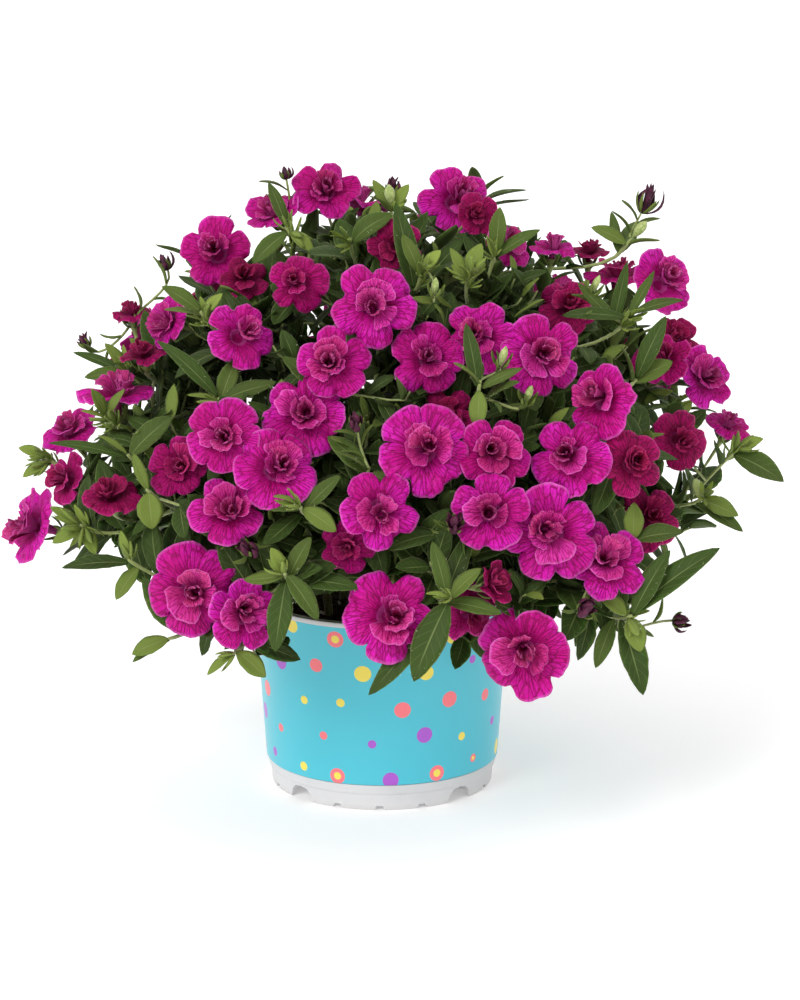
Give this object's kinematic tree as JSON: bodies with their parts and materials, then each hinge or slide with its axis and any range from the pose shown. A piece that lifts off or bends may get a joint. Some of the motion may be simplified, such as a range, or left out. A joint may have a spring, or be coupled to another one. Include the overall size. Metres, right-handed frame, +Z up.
{
  "type": "potted double calibrachoa",
  "caption": "Mounded potted plant with double magenta blooms on leafy stems, in a round white plastic pot with a turquoise printed sleeve.",
  "frame": {"origin": "on the pot's axis, at the underside of its base, on the surface that it stands on", "axes": "+Z up along the pot's axis, -Y towards the side seen in the reference view, +X to its right"},
  "size_m": [0.3387, 0.3147, 0.2757],
  "materials": {
    "white_plastic": "satin",
    "turquoise_sleeve": "satin",
    "potting_soil": "matte",
    "green_foliage": "matte",
    "magenta_petals": "matte"
  },
  "bodies": {
    "root": {"pot": "white_plastic", "label_sleeve": "turquoise_sleeve", "soil": "potting_soil", "leafy_stem_1": "green_foliage", "leafy_stem_2": "green_foliage", "leafy_stem_3": "green_foliage", "leafy_stem_4": "green_foliage", "leafy_stem_5": "green_foliage", "leafy_stem_6": "green_foliage", "bloom_01": "magenta_petals", "bloom_02": "magenta_petals", "bloom_03": "magenta_petals", "bloom_04": "magenta_petals", "bloom_05": "magenta_petals", "bloom_06": "magenta_petals", "bloom_07": "magenta_petals", "bloom_08": "magenta_petals", "bloom_09": "magenta_petals", "bloom_10": "magenta_petals", "bloom_11": "magenta_petals", "bloom_12": "magenta_petals", "bloom_13": "magenta_petals", "bloom_14": "magenta_petals", "bloom_15": "magenta_petals", "bloom_16": "magenta_petals", "bloom_17": "magenta_petals", "bloom_18": "magenta_petals", "bloom_19": "magenta_petals", "bloom_20": "magenta_petals", "bloom_21": "magenta_petals", "bloom_22": "magenta_petals", "bloom_23": "magenta_petals", "bloom_24": "magenta_petals", "bloom_25": "magenta_petals", "bloom_26": "magenta_petals", "bloom_27": "magenta_petals", "bloom_28": "magenta_petals", "bloom_29": "magenta_petals", "bloom_30": "magenta_petals", "bloom_31": "magenta_petals", "bloom_32": "magenta_petals", "bloom_33": "magenta_petals", "bloom_34": "magenta_petals", "bloom_35": "magenta_petals", "bloom_36": "magenta_petals", "bloom_37": "magenta_petals", "bloom_38": "magenta_petals", "bloom_39": "magenta_petals", "bloom_40": "magenta_petals", "bloom_41": "magenta_petals", "bloom_42": "magenta_petals", "bloom_43": "magenta_petals", "bloom_44": "magenta_petals", "bloom_45": "magenta_petals", "bloom_46": "magenta_petals", "bloom_47": "magenta_petals", "bloom_48": "magenta_petals", "bloom_49": "magenta_petals", "bloom_50": "magenta_petals", "bloom_51": "magenta_petals"}
  },
  "joints": []
}
